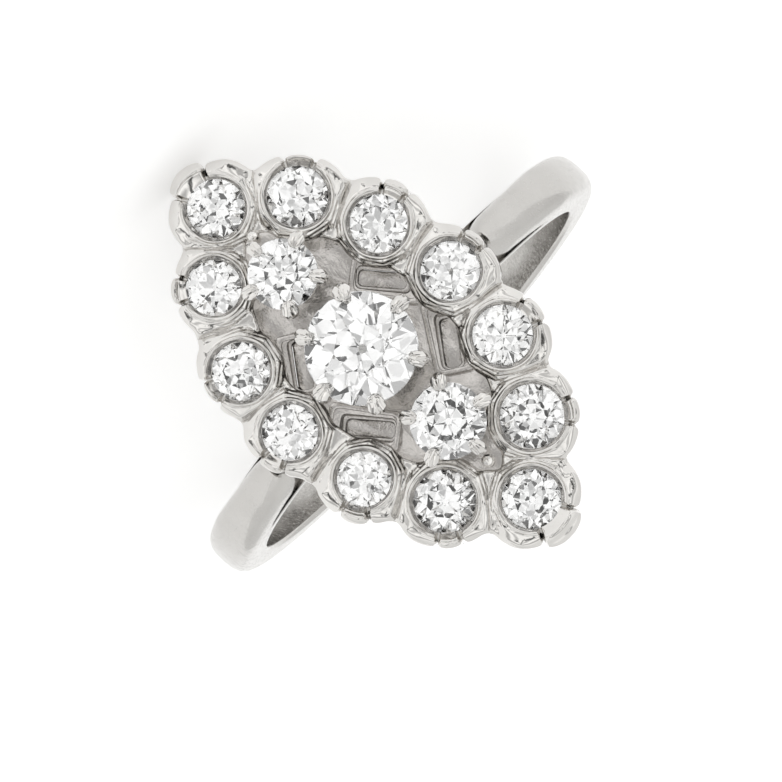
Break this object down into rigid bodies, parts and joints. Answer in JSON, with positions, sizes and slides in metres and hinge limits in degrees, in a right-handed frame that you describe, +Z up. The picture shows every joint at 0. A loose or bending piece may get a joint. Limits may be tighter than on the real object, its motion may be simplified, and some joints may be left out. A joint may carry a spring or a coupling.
{
  "type": "navette cluster ring",
  "caption": "Finger ring with a long lens-shaped cluster head of round cut stones in scalloped cups, raised claw-set stones along its middle, and a plain polished shank.",
  "frame": {"origin": "on the table, under the middle of the ring's box, with the ring lying on its side as it rests by itself", "axes": "+Z up from the table; the face of the head looks along -Y and a little up; the finger hole leans back towards +Y, 26 degrees from upright"},
  "size_m": [0.0214, 0.025, 0.0199],
  "materials": {
    "white_gold": "polished rhodium-bright white gold",
    "diamond": "cut and polished, clear"
  },
  "bodies": {
    "root": {"ring_mount": "white_gold", "centre_stone": "diamond", "upper_stone": "diamond", "lower_stone": "diamond", "border_stone_1": "diamond", "border_stone_2": "diamond", "border_stone_3": "diamond", "border_stone_4": "diamond", "border_stone_5": "diamond", "border_stone_6": "diamond", "border_stone_7": "diamond", "border_stone_8": "diamond", "border_stone_9": "diamond", "border_stone_10": "diamond", "border_stone_11": "diamond", "border_stone_12": "diamond"}
  },
  "joints": []
}
